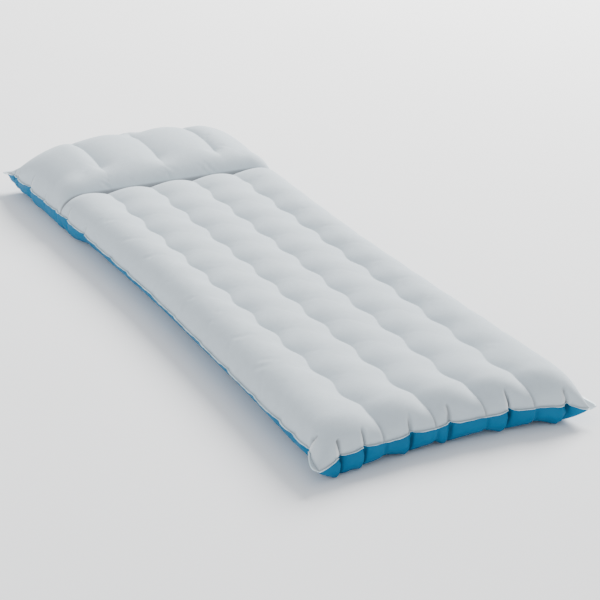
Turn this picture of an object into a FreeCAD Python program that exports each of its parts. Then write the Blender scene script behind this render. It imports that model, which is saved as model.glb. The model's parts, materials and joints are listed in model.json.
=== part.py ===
import FreeCAD, Part
import math
import os
import re
import Sketcher

# Inflatable camping mattress with a raised pillow across its head end. All sizes are in millimetres.
# X runs across the mattress, +Y towards the head, +Z up. The origin is on the floor under the middle.
SIZES = {
    # outline of the flat weld flange, corner to corner, and how far its edges are pulled in when inflated
    "length": 1840,
    "width": 670,
    "side_waist": 27,
    "foot_waist": 40,
    "flange_width": 11,
    "gauge": 1.2,
    # section of the body
    "seam_height": 54,
    "side_round_top": 64,
    "side_round_bottom": 56,
    "channel_pitch": 120,
    "edge_crest_x": 250,
    "land_width": 24,
    "body_crest": 115,
    "body_valley": 99,
    "floor_valley": 14,
    "floor_crush": 2,
    # transverse weld between body and pillow, and the rounding of the body's channels towards it
    "weld_y": 545,
    "weld_height": 95,
    "end_round_y": 505,
    "end_round_z": 71,
    # pillow
    "pillow_crest": 168,
    "pillow_valley": 150,
    "pillow_pitch": 165,
    "pillow_edge_x": 240,
    "pillow_crest_y": 735,
    "pillow_side_top": 170,
    "head_tilt": 34,
    # webs inside
    "web_gauge": 1.2,
    "wave_length": 125,
    "wave_depth": 6,
    "wave_foot_y": -802.5,
    "web_foot_y": -842,
    "web_head_y": 541,
    "pillow_web_foot_y": 633,
    "pillow_web_head_y": 837,
    "cross_web_half_width": 286,
    "cross_web_top": 92.4,
    "vent_radius": 15,
    "vent_height": 58,
    # valve, along its own axis from the outer face of the sheet
    "valve_height": 104,
    "patch_radius": 42,
    "base_radius": 34,
    "base_flange": 1.6,
    "neck_outer": 25,
    "neck_inner": 22,
    "neck_depth": 16,
    "neck_rim": 3,
    "plug_clearance": 0.05,
    "seat_gap": 0.1,
    "gasket_gauge": 1,
    "plug_radius": 28,
    "plug_head": 2,
    "plug_wall": 2.4,
    "plug_depth": 12,
    "inlet_radius": 9,
    "inlet_wall": 2.5,
    "inlet_top": 10,
    "inlet_bottom": 6,
    "seat_radius": 14,
    "seat_gauge": 1.4,
    "flap_radius": 12.5,
    "flap_gauge": 0.9,
    "flap_hinge_y": 14.5,
    "cap_radius": 14,
    "cap_roof": 1.5,
    "cap_clearance": 0.3,
    "strap_width": 8,
    "strap_gauge": 1.1,
    "cap_hinge_y": 19,
    "hinge_gap": 1.2,
    "lug_reach": 2.5,
    "tether_reach": 6,
    "tether_ring_width": 2.5,
}

doc = FreeCAD.newDocument("camping_mattress")
sheet = doc.addObject("Spreadsheet::Sheet", "Sizes")
for row, (alias, value) in enumerate(SIZES.items(), start=1):
    sheet.set(f"A{row}", alias)
    sheet.set(f"B{row}", str(value))
    sheet.setAlias(f"B{row}", alias)
doc.recompute()

FAR = 2000  # reach of the construction solids past the mattress
LOW, HIGH = f"-{FAR}", str(FAR)
UPRIGHT = FreeCAD.Vector(0, 0, 1)
SIDE_TAPER = "atan(side_waist / (length / 2))"
VALVE_Y = "length / 2 - flange_width - (valve_height - seam_height) * tan(head_tilt * 1deg)"


def bind(obj, target, expression):
    """Bind a property or constraint to the sheet: each word that is an alias becomes a cell of it."""
    def cell(word):
        return f"Sizes.{word[0]}" if word[0] in SIZES else word[0]

    linked = re.sub(r"[a-z_]{3,}", cell, expression)
    obj.setExpression(target, linked)


def arc_radius(half_chord, rise):
    """Radius of the arc with this chord and rise, as an expression."""
    return f"(({half_chord})^2 + ({rise})^2) / (2 * ({rise}))"


FOOT_RADIUS = arc_radius("width / 2", "foot_waist")


def box(name, low, high):
    """Box between two corners, each coordinate an expression."""
    solid = doc.addObject("Part::Box", name)
    for prop, axis, start, end in zip(("Length", "Width", "Height"), "xyz", low, high):
        bind(solid, prop, f"({end}) - ({start})")
        bind(solid, f"Placement.Base.{axis}", start)
    return solid


def cylinder(name, radius, low, high, centre=("0", "0"), direction="z"):
    """Cylinder along Z, Y or X from low to high; centre gives its other two coordinates in X, Y, Z order."""
    solid = doc.addObject("Part::Cylinder", name)
    bind(solid, "Radius", radius)
    bind(solid, "Height", f"({high}) - ({low})")
    turn = {
        "z": FreeCAD.Rotation(),
        "y": FreeCAD.Rotation(FreeCAD.Vector(1, 0, 0), -90),
        "x": FreeCAD.Rotation(FreeCAD.Vector(0, 1, 0), 90),
    }
    solid.Placement = FreeCAD.Placement(FreeCAD.Vector(), turn[direction])
    bind(solid, f"Placement.Base.{direction}", low)
    for axis, value in zip((a for a in "xyz" if a != direction), centre):
        bind(solid, f"Placement.Base.{axis}", value)
    return solid


def join(kind, name, solids):
    result = doc.addObject(f"Part::{kind}", name)
    result.Shapes = solids
    return result


def cut(name, base, tool):
    result = doc.addObject("Part::Cut", name)
    result.Base = base
    result.Tool = tool
    return result


def new_sketch(body, name, role):
    """Sketch on one of the body's own origin planes."""
    sketch = body.newObject("Sketcher::SketchObject", name)
    plane = next(f for f in body.Origin.OriginFeatures if f.Role == role)
    sketch.AttachmentSupport = (plane, "")
    sketch.MapMode = "FlatFace"
    return sketch


def hold(sketch, kind, *where, value=None, expression=None):
    """Add a constraint and, with an expression, bind it to the sheet."""
    index = sketch.addConstraint(Sketcher.Constraint(kind, *where, value) if value is not None
                                 else Sketcher.Constraint(kind, *where))
    if expression:
        bind(sketch, f"Constraints[{index}]", expression)


def arc(centre, radius, start, end):
    """Arc of a circle in a sketch, from its centre and radius and its start and end angles in degrees."""
    circle = Part.Circle(FreeCAD.Vector(*centre, 0), FreeCAD.Vector(0, 0, 1), radius)
    return Part.ArcOfCircle(circle, math.radians(start), math.radians(end))


def line(start, end):
    return Part.LineSegment(FreeCAD.Vector(*start, 0), FreeCAD.Vector(*end, 0))


# ---------- outline and edges ----------

FOOT_PLAN_RADIUS = ((SIZES["width"] / 2)**2 + SIZES["foot_waist"]**2) / (2 * SIZES["foot_waist"])


def flange_slab():
    """Plan outline, waisted on the long sides and hollow at the foot, padded by two gauges about the seam."""
    body = doc.addObject("PartDesign::Body", "flange_slab")
    sketch = new_sketch(body, "flange_outline", "XY_Plane")
    x, y = SIZES["width"] / 2, SIZES["length"] / 2
    waist_x = x - SIZES["side_waist"]
    half_foot = math.degrees(math.asin(x / FOOT_PLAN_RADIUS))
    foot_centre = (0, SIZES["foot_waist"] - y - FOOT_PLAN_RADIUS)
    sketch.addGeometry(arc(foot_centre, FOOT_PLAN_RADIUS, 90 - half_foot, 90 + half_foot))
    corners = [(x, -y), (waist_x, 0), (x, y), (-x, y), (-waist_x, 0), (-x, -y)]
    sketch.addGeometry([line(*corners[i:i + 2]) for i in range(5)])
    hold(sketch, "Coincident", 0, 1, 1, 1)
    for number in range(1, 5):
        hold(sketch, "Coincident", number, 2, number + 1, 1)
    hold(sketch, "Coincident", 5, 2, 0, 2)
    hold(sketch, "Symmetric", 0, 1, 0, 2, -2)
    hold(sketch, "Symmetric", 3, 1, 3, 2, -2)
    hold(sketch, "Symmetric", 1, 2, 4, 2, -2)
    hold(sketch, "Symmetric", 1, 1, 3, 1, -1)
    hold(sketch, "PointOnObject", 1, 2, -1)
    hold(sketch, "DistanceX", 3, 2, 3, 1, value=2 * x, expression="width")
    hold(sketch, "DistanceY", 1, 1, 3, 1, value=2 * y, expression="length")
    hold(sketch, "DistanceX", -1, 1, 1, 2, value=waist_x, expression="width / 2 - side_waist")
    hold(sketch, "Radius", 0, value=FOOT_PLAN_RADIUS, expression=FOOT_RADIUS)
    pad = body.newObject("PartDesign::Pad", "flange_pad")
    pad.Profile = sketch
    bind(pad, "Length", "2 * gauge")
    bind(body, "Placement.Base.z", "seam_height - gauge")
    return body


def edge_sketch(body, name, root, root_expression, inset):
    """Section of an inflated edge: a lower and an upper quarter round that meet at the weld flange."""
    sketch = new_sketch(body, f"{name}_section", "XZ_Plane")
    seam, top, low = SIZES["seam_height"], SIZES["side_round_top"], SIZES["side_round_bottom"]
    sketch.addGeometry([
        arc((root + top, seam), top, 90, 180),
        arc((root + low, seam), low, 180, 270),
        line((root + top, seam + top), (root + FAR, seam + top)),
        line((root + FAR, seam + top), (root + FAR, seam - low)),
        line((root + FAR, seam - low), (root + low, seam - low)),
    ])
    hold(sketch, "Tangent", 0, 2, 1, 1)
    hold(sketch, "Tangent", 0, 1, 2, 1)
    hold(sketch, "Coincident", 2, 2, 3, 1)
    hold(sketch, "Coincident", 3, 2, 4, 1)
    hold(sketch, "Tangent", 4, 2, 1, 2)
    hold(sketch, "Horizontal", 2)
    hold(sketch, "Vertical", 3)
    hold(sketch, "Horizontal", 4)
    hold(sketch, "Radius", 0, value=top, expression=f"side_round_top - {inset}")
    hold(sketch, "Radius", 1, value=low, expression=f"side_round_bottom - {inset}")
    hold(sketch, "DistanceX", -1, 1, 0, 2, value=root, expression=f"{root_expression} + {inset}")
    hold(sketch, "DistanceY", -1, 1, 0, 2, value=seam, expression="seam_height")
    hold(sketch, "DistanceX", 0, 2, 2, 2, value=FAR)
    return sketch


def pillow_side_sketch(body, name, root, root_expression, inset):
    """Section of the pillow's long sides: the body's round up to the weld, then a wider one to the crest."""
    sketch = new_sketch(body, f"{name}_section", "XZ_Plane")
    seam, small = SIZES["seam_height"], SIZES["side_round_top"]
    join_height, crest = SIZES["weld_height"], SIZES["pillow_side_top"]
    rise = math.asin((join_height - seam) / small)
    wide = (crest - join_height) / (1 - math.sin(rise))
    centre_x = root + small + (wide - small) * math.cos(rise)
    sketch.addGeometry([
        arc((root + small, seam), small, 180 - math.degrees(rise), 180),
        arc((centre_x, crest - wide), wide, 90, 180 - math.degrees(rise)),
        line((centre_x, crest), (root + FAR, crest)),
        line((root + FAR, crest), (root + FAR, seam)),
        line((root + FAR, seam), (root, seam)),
    ])
    hold(sketch, "Tangent", 0, 1, 1, 2)
    hold(sketch, "Tangent", 1, 1, 2, 1)
    hold(sketch, "Coincident", 2, 2, 3, 1)
    hold(sketch, "Coincident", 3, 2, 4, 1)
    hold(sketch, "Coincident", 4, 2, 0, 2)
    hold(sketch, "Horizontal", 2)
    hold(sketch, "Vertical", 3)
    hold(sketch, "Horizontal", 4)
    hold(sketch, "Horizontal", 0, 3, 0, 2)
    hold(sketch, "Radius", 0, value=small, expression=f"side_round_top - {inset}")
    hold(sketch, "DistanceX", -1, 1, 0, 2, value=root, expression=f"{root_expression} + {inset}")
    hold(sketch, "DistanceY", -1, 1, 0, 2, value=seam, expression="seam_height")
    hold(sketch, "DistanceY", -1, 1, 2, 1, value=crest, expression=f"pillow_side_top - {inset}")
    hold(sketch, "Angle", 0, value=rise, expression="asin((weld_height - seam_height) / side_round_top)")
    hold(sketch, "DistanceX", 0, 2, 2, 2, value=FAR)
    return sketch


def foot_edge(name, inset):
    """Foot edge, revolved about the upright axis at the centre of its plan arc, over twice that arc."""
    body = doc.addObject("PartDesign::Body", name)
    root = FOOT_PLAN_RADIUS + SIZES["flange_width"]
    sketch = edge_sketch(body, name, root, f"{FOOT_RADIUS} + flange_width", inset)
    turn = body.newObject("PartDesign::Revolution", f"{name}_turn")
    turn.Profile = sketch
    turn.ReferenceAxis = (sketch, ["V_Axis"])
    turn.Midplane = True
    bind(turn, "Angle", f"4 * asin(width / 2 / ({FOOT_RADIUS}))")
    body.Placement = FreeCAD.Placement(FreeCAD.Vector(), FreeCAD.Rotation(UPRIGHT, 90))
    bind(body, "Placement.Base.y", f"-(length / 2 - foot_waist + {FOOT_RADIUS})")
    return body


def sides(prefix, make_sketch, inset):
    """Left and right edges. Each is two straight runs that taper in to the waist at mid-length."""
    taper = math.degrees(math.atan(SIZES["side_waist"] / (SIZES["length"] / 2)))
    pairs = []
    for side, outward, heading in (("left", -1, 0), ("right", 1, 180)):
        runs = []
        for end, sign in (("foot", outward), ("head", -outward)):
            name = f"{prefix}_{side}_{end}"
            body = doc.addObject("PartDesign::Body", name)
            sketch = make_sketch(body, name, SIZES["flange_width"], "flange_width", inset)
            pad = body.newObject("PartDesign::Pad", f"{name}_pad")
            pad.Profile = sketch
            pad.Midplane = True
            pad.Length = 2 * FAR
            heading_now = FreeCAD.Rotation(UPRIGHT, heading + sign * taper)
            body.Placement = FreeCAD.Placement(FreeCAD.Vector(), heading_now)
            bind(body, "Placement.Rotation.Angle", f"{heading}deg + ({sign}) * {SIDE_TAPER}")
            bind(body, "Placement.Base.x", f"{outward} * (width / 2 - side_waist)")
            runs.append(body)
        pairs.append(join("MultiFuse", f"{prefix}_{side}", runs))
    return pairs


# ---------- quilted envelopes: every one is made twice, as the outer face and as the air inside ----------

def quilt(name, inset, floor, land, crest, arcs):
    """Lands at one height with rounded channels between them, along Y; floor says which way is up."""
    solids = []
    if floor:
        solids.append(box(f"{name}_lands", (LOW, LOW, f"{land} + {inset}"), (HIGH, HIGH, HIGH)))
    else:
        solids.append(box(f"{name}_lands", (LOW, LOW, LOW), (HIGH, HIGH, f"{land} - {inset}")))
    for number, (centre_x, half_chord) in enumerate(arcs, start=1):
        rise = f"{land} - ({crest})" if floor else f"{crest} - ({land})"
        radius = arc_radius(half_chord, rise)
        centre_z = f"{crest} + {radius}" if floor else f"{crest} - {radius}"
        solids.append(cylinder(f"{name}_channel_{number}", f"{radius} - {inset}", LOW, HIGH,
                               (centre_x, centre_z), "y"))
    return join("MultiFuse", name, solids)


BODY_ARCS = [(f"{i} * channel_pitch", "(channel_pitch - land_width) / 2") for i in (-1, 0, 1)]
BODY_ARCS += [(f"{s} * edge_crest_x", "edge_crest_x - 1.5 * channel_pitch - land_width / 2") for s in (-1, 1)]
PILLOW_ARCS = [(f"{i} * pillow_pitch", "(pillow_pitch - land_width) / 2") for i in (-0.5, 0.5)]
PILLOW_ARCS += [(f"{s} * pillow_edge_x", "pillow_edge_x - pillow_pitch - land_width / 2") for s in (-1, 1)]


def body_envelope(which, inset):
    """Body above the seam: five channels, rounded sides and foot, domed down to the transverse weld."""
    top = quilt(f"body_quilt_{which}", inset, False, "body_valley", "body_crest", BODY_ARCS)
    reach = "weld_y - end_round_y"
    radius = f"sqrt(({reach})^2 + (weld_height - end_round_z)^2)"
    straight = box(f"body_run_{which}", (LOW, LOW, LOW), (HIGH, "end_round_y", HIGH))
    dome = cylinder(f"body_dome_{which}", f"{radius} - {inset}", LOW, HIGH,
                    ("end_round_y", "end_round_z"), "x")
    ended = join("MultiFuse", f"body_end_{which}", [straight, dome])
    return join("MultiCommon", f"body_{which}", [top, ended] + edges[which])


def floor_envelope(which, inset):
    """Body and pillow below the seam: the same five channels, resting on flats at floor height."""
    low = quilt(f"floor_quilt_{which}", inset, True, "floor_valley", "-floor_crush", BODY_ARCS)
    root = "length / 2 - flange_width - side_round_bottom"
    straight = box(f"floor_run_{which}", (LOW, LOW, inset), (HIGH, root, HIGH))
    head = cylinder(f"floor_head_{which}", f"side_round_bottom - {inset}", LOW, HIGH,
                    (root, "seam_height"), "x")
    ended = join("MultiFuse", f"floor_end_{which}", [straight, head])
    ground = box(f"floor_level_{which}", (LOW, LOW, inset), (HIGH, HIGH, HIGH))
    return join("MultiCommon", f"floor_{which}", [low, ended, ground] + edges[which])


def pillow_envelope(which, inset):
    """Pillow above the seam: four chambers under one long crown, with a flat slope at the head."""
    top = quilt(f"pillow_quilt_{which}", inset, False, "pillow_valley", "pillow_crest", PILLOW_ARCS)
    radius = arc_radius("pillow_crest_y - weld_y", "pillow_crest - weld_height")
    crown = cylinder(f"pillow_crown_{which}", f"{radius} - {inset}", LOW, HIGH,
                     ("pillow_crest_y", f"pillow_crest - {radius}"), "x")
    slope = doc.addObject("Part::Box", f"pillow_slope_{which}")
    slope.Length, slope.Width, slope.Height = 2 * FAR, FAR, 2 * FAR
    tilt = FreeCAD.Rotation(FreeCAD.Vector(1, 0, 0), SIZES["head_tilt"])
    slope.Placement = FreeCAD.Placement(FreeCAD.Vector(-FAR, 0, 0), tilt)
    bind(slope, "Placement.Rotation.Angle", "head_tilt * 1deg")
    back = f"{FAR} + {inset}"
    bind(slope, "Placement.Base.y",
         f"length / 2 - flange_width - ({back}) * cos(head_tilt * 1deg) + {FAR} * sin(head_tilt * 1deg)")
    bind(slope, "Placement.Base.z",
         f"seam_height - ({back}) * sin(head_tilt * 1deg) - {FAR} * cos(head_tilt * 1deg)")
    return join("MultiCommon", f"pillow_{which}", [top, crown, slope] + pillow_edges[which])


edges, pillow_edges = {}, {}
for which, inset in (("outer", "0"), ("inner", "gauge")):
    edges[which] = sides(f"side_{which}", edge_sketch, inset) + [foot_edge(f"foot_{which}", inset)]
    pillow_edges[which] = sides(f"pillow_side_{which}", pillow_side_sketch, inset)

slab = flange_slab()


def skin(name, envelope, region, extra_cut=None):
    """Sheet between the outer and inner envelopes, with its half of the weld flange."""
    whole = join("MultiFuse", f"{name}_with_flange", [envelope("outer", "0"), slab])
    part = join("MultiCommon", f"{name}_region", [whole, box(f"{name}_bounds", *region)])
    inside = envelope("inner", "gauge")
    if extra_cut:
        inside = join("MultiFuse", f"{name}_hollow", [inside, extra_cut])
    return cut(name, part, inside)


# ---------- webs ----------

def wave_beam(number, centre_x):
    """Upright web whose plan is a wave of arcs, tangent to a straight run at each end."""
    wave, depth, half = SIZES["wave_length"] / 2, SIZES["wave_depth"], SIZES["web_gauge"] / 2
    steps = int((SIZES["web_head_y"] - SIZES["wave_foot_y"]) // (2 * wave)) * 2
    quarter = wave / 2
    radius = (quarter**2 + depth**2) / (2 * depth)
    swing = math.asin(quarter / radius)

    def side(offset):
        """Edges along one face of the web, from the foot to the head."""
        points = [FreeCAD.Vector(centre_x + depth + offset, SIZES["web_foot_y"], 0)]
        edges_out = []
        for step in range(steps + 1):
            sign = 1 if step % 2 == 0 else -1
            mid_y = SIZES["wave_foot_y"] + step * wave
            hub_x = centre_x + sign * (depth - radius)
            r = radius + sign * offset
            start = 0 if step == 0 else -swing
            end = 0 if step == steps else swing
            bend = [
                FreeCAD.Vector(hub_x + sign * r * math.cos(a), mid_y + r * math.sin(a), 0)
                for a in (start, (start + end) / 2, end)
            ]
            if step == 0:
                edges_out.append(Part.makeLine(points[0], bend[0]))
            edges_out.append(Part.Arc(*bend).toShape())
            points.append(bend[2])
        points.append(FreeCAD.Vector(points[-1].x, SIZES["web_head_y"], 0))
        edges_out.append(Part.makeLine(points[-2], points[-1]))
        return edges_out, points[0], points[-1]

    right, right_foot, right_head = side(half)
    left, left_foot, left_head = side(-half)
    ends = [Part.makeLine(right_head, left_head), Part.makeLine(left_foot, right_foot)]
    outline = Part.Wire(Part.__sortEdges__(right + left + ends))
    low = SIZES["floor_valley"] + SIZES["gauge"]
    high = SIZES["body_valley"] - SIZES["gauge"]
    web = doc.addObject("Part::Feature", f"wave_beam_{number}")
    web.Shape = Part.Face(outline).extrude(FreeCAD.Vector(0, 0, high - low))
    web.Placement = FreeCAD.Placement(FreeCAD.Vector(0, 0, low), FreeCAD.Rotation())
    return web


def pillow_beam(number, centre_x):
    half = "web_gauge / 2"
    low = (f"{centre_x} - {half}", "pillow_web_foot_y", "floor_valley + gauge")
    high = (f"{centre_x} + {half}", "pillow_web_head_y", "pillow_valley - gauge")
    return box(f"pillow_beam_{number}", low, high)


def transverse_beam():
    """Web across the mattress under the transverse weld, with a round vent in each channel."""
    half = "web_gauge / 2"
    plate = box("cross_plate", ("-cross_web_half_width", f"weld_y - {half}", "floor_valley + gauge"),
                ("cross_web_half_width", f"weld_y + {half}", "cross_web_top"))
    vents = [
        cylinder(f"vent_{number}", "vent_radius", "weld_y - web_gauge", "weld_y + web_gauge",
                 (f"{place} * channel_pitch", "vent_height"), "y")
        for number, place in enumerate((-2, -1, 0, 1, 2), start=1)
    ]
    return cut("transverse_beam", plate, join("MultiFuse", "vents", vents))


# ---------- valve: every piece is made along Z and then set on the head slope ----------

def seat_on_slope(solid, along="0"):
    """Stand a piece on the head slope, its Z along the valve's axis, and move it along that axis."""
    tilt = FreeCAD.Rotation(FreeCAD.Vector(1, 0, 0), SIZES["head_tilt"] - 90)
    solid.Placement = FreeCAD.Placement(FreeCAD.Vector(), tilt)
    bind(solid, "Placement.Rotation.Angle", "(head_tilt - 90) * 1deg")
    bind(solid, "Placement.Base.y", f"{VALVE_Y} + ({along}) * cos(head_tilt * 1deg)")
    bind(solid, "Placement.Base.z", f"valve_height + ({along}) * sin(head_tilt * 1deg)")
    return solid


def ring(name, outer, inner, low, high):
    wider = cylinder(f"{name}_outside", outer, low, high)
    hole = cylinder(f"{name}_hole", inner, f"{low} - 1", f"{high} + 1")
    return cut(name, wider, hole)


def valve_patch():
    return ring("valve_patch", "patch_radius", "neck_outer", "-gauge - web_gauge", "-gauge")


def valve_base():
    """Flange welded on the sheet, and the neck that the plug pushes into."""
    flange = cylinder("base_flange_disc", "base_radius", "0", "base_flange")
    neck = cylinder("base_neck", "neck_outer", "-neck_depth", "neck_rim")
    bore = cylinder("base_bore", "neck_inner", "-neck_depth - 1", "neck_rim + 1")
    return cut("valve_base", join("MultiFuse", "base_body", [flange, neck]), bore)


HEAD_LOW = "neck_rim + seat_gap + gasket_gauge"
HEAD_TOP = f"{HEAD_LOW} + plug_head"
CAP_LOW = f"{HEAD_TOP} + seat_gap"


def plug_gasket():
    return ring("plug_gasket", "neck_outer", "neck_inner - plug_clearance", "neck_rim + seat_gap", HEAD_LOW)


def valve_plug():
    """Wide plug: head, skirt inside the neck, and the pump inlet through its middle, with a seat below."""
    head = cylinder("plug_head_disc", "plug_radius", HEAD_LOW, HEAD_TOP)
    skirt = ring("plug_skirt", "neck_inner - plug_clearance", "neck_inner - plug_clearance - plug_wall",
                 "-plug_depth", HEAD_LOW)
    inlet = cylinder("plug_inlet", "inlet_radius + inlet_wall", "-inlet_bottom", "inlet_top")
    seat = cylinder("plug_seat", "seat_radius", "-inlet_bottom", "-inlet_bottom + seat_gauge")
    flap_lug = box("plug_flap_lug", ("-strap_width / 2", "seat_radius - 1", "-inlet_bottom"),
                   ("strap_width / 2", "flap_hinge_y + lug_reach", HEAD_LOW))
    cap_lug = box("plug_cap_lug", ("-strap_width / 2", "cap_hinge_y + hinge_gap", HEAD_TOP),
                  ("strap_width / 2", "cap_hinge_y + hinge_gap + lug_reach", f"{CAP_LOW} + strap_gauge"))
    bore = cylinder("plug_inlet_bore", "inlet_radius", "-inlet_bottom - 1", "inlet_top + 1")
    body = join("MultiFuse", "plug_body", [head, skirt, inlet, seat, flap_lug, cap_lug])
    return cut("valve_plug", body, bore)


def check_flap():
    """Soft disc just under the seat, with a tab that ends at its hinge line."""
    top = "-inlet_bottom - seat_gap"
    disc = cylinder("flap_disc", "flap_radius", f"{top} - flap_gauge", top)
    tab = box("flap_tab", ("-strap_width / 2", "0", f"{top} - flap_gauge"),
              ("strap_width / 2", "flap_hinge_y", top))
    return join("MultiFuse", "check_flap", [disc, tab])


def inlet_cap():
    """Cap over the outside of the inlet, moulded in one with its strap; nothing of it enters the bore."""
    top = "inlet_top + seat_gap"
    shell = cylinder("cap_shell", "cap_radius", CAP_LOW, f"{top} + cap_roof")
    strap = box("cap_strap", ("-strap_width / 2", "cap_radius - 1", CAP_LOW),
                ("strap_width / 2", "cap_hinge_y - hinge_gap", f"{CAP_LOW} + strap_gauge"))
    hollow = cylinder("cap_hollow", "inlet_radius + inlet_wall + cap_clearance", f"{CAP_LOW} - 1", top)
    return cut("inlet_cap", join("MultiFuse", "cap_body", [shell, strap]), hollow)


def plug_tether():
    """Ring around the neck under the plug's head, with a strap out and up to the edge of the head."""
    far = "-plug_radius - tether_reach"
    loop = ring("tether_ring", "neck_outer + tether_ring_width", "neck_outer",
                "base_flange", "neck_rim - seat_gap")
    out = box("tether_out", ("-strap_width / 2", far, "base_flange"),
              ("strap_width / 2", "-neck_outer - 1", "base_flange + strap_gauge"))
    rise = box("tether_rise", ("-strap_width / 2", far, "base_flange"),
               ("strap_width / 2", f"{far} + strap_gauge", HEAD_TOP))
    back = box("tether_back", ("-strap_width / 2", far, f"{HEAD_TOP} - strap_gauge"),
               ("strap_width / 2", "-plug_radius - cap_clearance", HEAD_TOP))
    return join("MultiFuse", "plug_tether", [loop, out, rise, back])


# ---------- the sub-parts ----------

valve_hole = seat_on_slope(cylinder("valve_hole", "neck_outer", "0", "2 * neck_depth"), "-neck_depth")
sub_parts = [
    skin("sleeping_top_sheet", body_envelope, ((LOW, LOW, "seam_height"), (HIGH, "weld_y", HIGH))),
    skin("pillow_top_sheet", pillow_envelope, ((LOW, "weld_y", "seam_height"), (HIGH, HIGH, HIGH)),
         valve_hole),
    skin("bottom_sheet", floor_envelope, ((LOW, LOW, LOW), (HIGH, HIGH, "seam_height"))),
    transverse_beam(),
]
for number, place in enumerate((-1.5, -0.5, 0.5, 1.5), start=1):
    sub_parts.append(wave_beam(number, place * SIZES["channel_pitch"]))
for number, place in enumerate((-1, 0, 1), start=1):
    sub_parts.append(pillow_beam(number, f"{place} * pillow_pitch"))
for make in (valve_patch, valve_base, plug_gasket, valve_plug, check_flap, inlet_cap, plug_tether):
    sub_parts.append(seat_on_slope(make()))
for part in sub_parts:
    part.Label = part.Name
doc.recompute()

for obj in doc.Objects:
    if "Invalid" in obj.State or "Error" in obj.State:
        raise RuntimeError(f"{obj.Name} failed: {obj.State}")
for part in sub_parts:
    shape = part.Shape
    if shape.isNull() or not shape.isValid() or len(shape.Solids) != 1:
        raise RuntimeError(f"{part.Label} is not one valid solid")

os.makedirs("parts", exist_ok=True)
for part in sub_parts:
    part.Shape.exportStep(f"parts/{part.Label}.step")
    print(f"{part.Label}: {part.Shape.Volume / 1000:.2f} cm3")
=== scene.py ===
"""Looks of the air mattress: two welded sheets inflated by a cloth simulation, their flange and the valve."""

import json
import math

import bpy
import numpy as np
from mathutils import Matrix, Vector


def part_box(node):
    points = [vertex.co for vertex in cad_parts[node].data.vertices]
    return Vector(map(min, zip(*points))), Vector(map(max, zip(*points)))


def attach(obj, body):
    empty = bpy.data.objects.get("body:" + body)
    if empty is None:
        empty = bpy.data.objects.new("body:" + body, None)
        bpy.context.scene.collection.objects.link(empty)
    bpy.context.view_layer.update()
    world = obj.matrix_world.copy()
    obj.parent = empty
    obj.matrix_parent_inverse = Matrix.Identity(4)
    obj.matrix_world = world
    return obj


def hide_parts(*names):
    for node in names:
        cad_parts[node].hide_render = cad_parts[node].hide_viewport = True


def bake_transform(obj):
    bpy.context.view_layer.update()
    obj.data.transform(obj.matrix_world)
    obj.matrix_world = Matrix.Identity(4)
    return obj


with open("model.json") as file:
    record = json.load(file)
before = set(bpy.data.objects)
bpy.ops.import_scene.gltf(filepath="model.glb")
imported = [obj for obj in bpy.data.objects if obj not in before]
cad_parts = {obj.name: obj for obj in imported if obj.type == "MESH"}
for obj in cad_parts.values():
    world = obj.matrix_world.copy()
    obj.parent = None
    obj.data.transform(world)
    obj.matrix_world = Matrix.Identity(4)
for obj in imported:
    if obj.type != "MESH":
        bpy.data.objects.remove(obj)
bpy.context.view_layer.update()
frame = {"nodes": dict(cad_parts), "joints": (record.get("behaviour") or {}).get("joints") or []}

# ---------- sizes, in metres ----------

CAMERA_PLACE = (-1.88557, -3.77098, 1.83954)
CAMERA_TURN = (-27.85, 23.8, 1.39)  # azimuth, elevation and roll, in degrees
CAMERA_LENS = 113.70  # in millimetres, on a 36 mm sensor

SEAM_Z = 0.054  # height of the perimeter weld
HALF_LENGTH = 0.909  # seam of the head end, and of the foot's corners
HALF_WAIST = 0.297  # seam at mid-length
HALF_CORNER = 0.324  # seam at the corners
TOP_ROUND = 0.061  # radius of the top sheet's edge
LOW_ROUND = 0.050  # radius of the bottom sheet's edge
PITCH = 0.120  # between lengthwise welds
VALLEYS = (-1.5 * PITCH, -0.5 * PITCH, 0.5 * PITCH, 1.5 * PITCH)
CREST_Z, VALLEY_Z = 0.115, 0.098
CREST_X = 0.236  # where the outer channels reach their crest
WAVE_PITCH, WAVE_SWING, WAVE_CORNER = 0.125, 0.006, 0.385
WAVE_STARTS, WAVE_ENDS = (-0.85, -0.79), (0.45, 0.50)
WELD_Y, WELD_Z = 0.545, 0.091
CHANNEL_DOME = 0.052  # length of the domed channel ends at the transverse weld
FLOOR_GROOVE, GROOVE_REACH = 0.012, 0.030  # the bottom sheet's channels
FOOT_FULLNESS, HEAD_FULLNESS = 4.2, 2.4  # how steeply the bottom sheet's wall stands at the ends
SIDE_FULLNESS, SIDE_FULLER_AT_HEAD, SIDE_FULLER_AT_FOOT = 1.35, 1.85, 0.40

FOOT_HOLLOW = 0.035  # how far the middle of the foot's seam is pulled in
FOOT_SWAY = 0.031  # how far the lengthwise welds veer to the right as they come out at the foot
SWAY_HALF_WIDTH = 0.35  # that veer dies away to nothing this far from the middle
FOOT_SAG = 0.004  # how far the foot's seam sags below the others
FOOT_LIFT = 0.011  # how far the foot's welds lift the bottom sheet off the floor, between its pleats
VALLEY_ROUND = 0.45  # how much longer the foot's round is along a valley than along a crest
FOOT_DROP, HEAD_DROP, DROP_REACH = 0.016, 0.004, 0.065  # how far the corners hang down
HEAD_EAR, EAR_REACH = 0.007, 0.035  # how far the head's corners are drawn out

PILLOW_CREST_Y, PILLOW_CREST_Z = 0.735, 0.168
PILLOW_ROUND = 0.175  # how far in from its sides the pillow reaches its crest
CREASE_X, CREASE_DEPTH = 0.165, 0.020
CREASE_STARTS, CREASE_ENDS = (0.570, 0.635), (0.80, 0.865)
CREASE_WELD = (0.622, 0.815)  # where a web holds each crease
CREASES = (-CREASE_X, 0.0, CREASE_X)

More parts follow.
